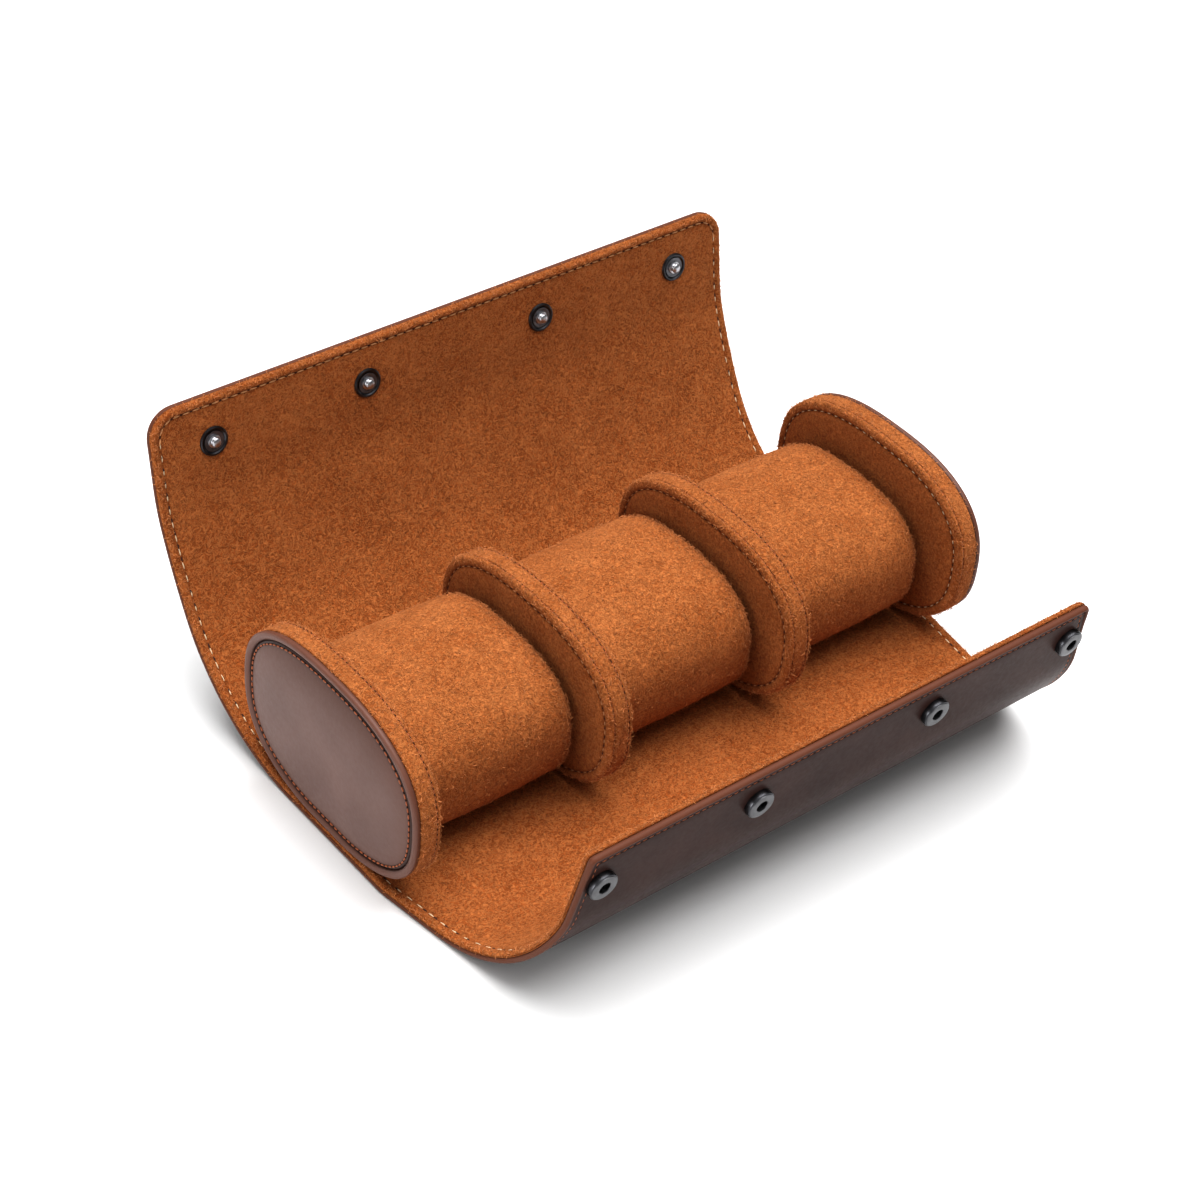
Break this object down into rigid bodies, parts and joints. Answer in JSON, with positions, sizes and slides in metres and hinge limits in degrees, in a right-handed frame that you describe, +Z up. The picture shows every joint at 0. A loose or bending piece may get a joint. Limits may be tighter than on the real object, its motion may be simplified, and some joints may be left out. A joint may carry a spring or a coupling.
{
  "type": "watch roll",
  "caption": "Open roll case for watches: a stiffened leather wrap lined in suede, oval end caps and dividers, lift-out cushions, and press studs that close it.",
  "frame": {"origin": "on the flat underside of the wrap, below the middle of the end caps' ovals and half way along the roll", "axes": "+X along the roll to its right end, +Y to the back flap, +Z up"},
  "size_m": [0.2116, 0.1894, 0.091],
  "materials": {
    "leather": "smooth satin taupe-brown leather with a fine tight grain",
    "lining": "tan microfibre suede with a short mottled nap, on the inside of the wrap",
    "suede": "tan microfibre suede with a short mottled nap",
    "board": "raw grey fibreboard",
    "foam": "soft open-cell foam",
    "metal": "gunmetal plated, semi-gloss"
  },
  "bodies": {
    "base": {"base_leather": "leather", "base_board": "board", "base_lining": "lining", "left_cap_leather": "leather", "left_cap_rim": "leather", "left_cap_band": "suede", "left_cap_core": "board", "left_cap_suede": "suede", "right_cap_leather": "leather", "right_cap_rim": "leather", "right_cap_band": "suede", "right_cap_core": "board", "right_cap_suede": "suede", "left_divider_left_face": "suede", "left_divider_right_face": "suede", "left_divider_band": "suede", "left_divider_core": "board", "right_divider_left_face": "suede", "right_divider_right_face": "suede", "right_divider_band": "suede", "right_divider_core": "board"},
    "back_panel_1": {"back_panel_1_leather": "leather", "back_panel_1_board": "board", "back_panel_1_lining": "lining"},
    "back_panel_2": {"back_panel_2_leather": "leather", "back_panel_2_board": "board", "back_panel_2_lining": "lining"},
    "back_panel_3": {"back_panel_3_leather": "leather", "back_panel_3_board": "board", "back_panel_3_lining": "lining"},
    "back_tip": {"back_tip_leather": "leather", "back_tip_board": "board", "back_tip_lining": "lining", "snap_studs": "metal", "snap_stud_caps": "metal"},
    "front_panel_1": {"front_panel_1_leather": "leather", "front_panel_1_board": "board", "front_panel_1_lining": "lining"},
    "front_panel_2": {"front_panel_2_leather": "leather", "front_panel_2_board": "board", "front_panel_2_lining": "lining"},
    "front_panel_3": {"front_panel_3_leather": "leather", "front_panel_3_board": "board", "front_panel_3_lining": "lining"},
    "front_tip": {"front_tip_leather": "leather", "front_tip_board": "board", "front_tip_lining": "lining", "snap_sockets": "metal", "snap_socket_flanges": "metal"},
    "left_cushion": {"left_cushion_sleeve": "suede", "left_cushion_foam": "foam"},
    "middle_cushion": {"middle_cushion_sleeve": "suede", "middle_cushion_foam": "foam"},
    "right_cushion": {"right_cushion_sleeve": "suede", "right_cushion_foam": "foam"}
  },
  "joints": [
    {"name": "back_flap", "type": "hinge", "parent": "base", "child": "back_panel_1", "pos_m": [0, 0.018, 0.0028], "axis": [-1, 0, 0], "range_deg": [-14.61, 0]},
    {"name": "back_flap_fold_2", "type": "hinge", "parent": "back_panel_1", "child": "back_panel_2", "pos_m": [0, 0.04373, 0.00827], "axis": [-1, 0, 0], "range_deg": [-37.98, 0]},
    {"name": "back_flap_fold_3", "type": "hinge", "parent": "back_panel_2", "child": "back_panel_3", "pos_m": [0, 0.07028, 0.03175], "axis": [-1, 0, 0], "range_deg": [-28.18, 0]},
    {"name": "back_flap_fold_4", "type": "hinge", "parent": "back_panel_3", "child": "back_tip", "pos_m": [0, 0.08207, 0.0549], "axis": [-1, 0, 0], "range_deg": [-17.79, 0]},
    {"name": "front_flap", "type": "hinge", "parent": "base", "child": "front_panel_1", "pos_m": [0, -0.027, 0.0028], "axis": [1, 0, 0], "range_deg": [-45.61, 0]},
    {"name": "front_flap_fold_2", "type": "hinge", "parent": "front_panel_1", "child": "front_panel_2", "pos_m": [0, -0.047, 0.0028], "axis": [1, 0, 0], "range_deg": [-25.83, 0]},
    {"name": "front_flap_fold_3", "type": "hinge", "parent": "front_panel_2", "child": "front_panel_3", "pos_m": [0, -0.07657, 0.01535], "axis": [1, 0, 0], "range_deg": [-16.54, 0]},
    {"name": "front_flap_fold_4", "type": "hinge", "parent": "front_panel_3", "child": "front_tip", "pos_m": [0, -0.08793, 0.03285], "axis": [1, 0, 0], "range_deg": [-11.46, 0]},
    {"name": "left_cushion_lift", "type": "slide", "parent": "base", "child": "left_cushion", "axis": [0, 0, 1], "range_m": [0, 0.065]},
    {"name": "middle_cushion_lift", "type": "slide", "parent": "base", "child": "middle_cushion", "axis": [0, 0, 1], "range_m": [0, 0.065]},
    {"name": "right_cushion_lift", "type": "slide", "parent": "base", "child": "right_cushion", "axis": [0, 0, 1], "range_m": [0, 0.065]}
  ],
  "couplings": [
    {"joint": "back_flap_fold_2", "follows": "back_flap", "ratio": 2.5994},
    {"joint": "back_flap_fold_3", "follows": "back_flap", "ratio": 1.9283},
    {"joint": "back_flap_fold_4", "follows": "back_flap", "ratio": 1.2173},
    {"joint": "front_flap_fold_2", "follows": "front_flap", "ratio": 0.56629},
    {"joint": "front_flap_fold_3", "follows": "front_flap", "ratio": 0.36253},
    {"joint": "front_flap_fold_4", "follows": "front_flap", "ratio": 0.25112}
  ]
}
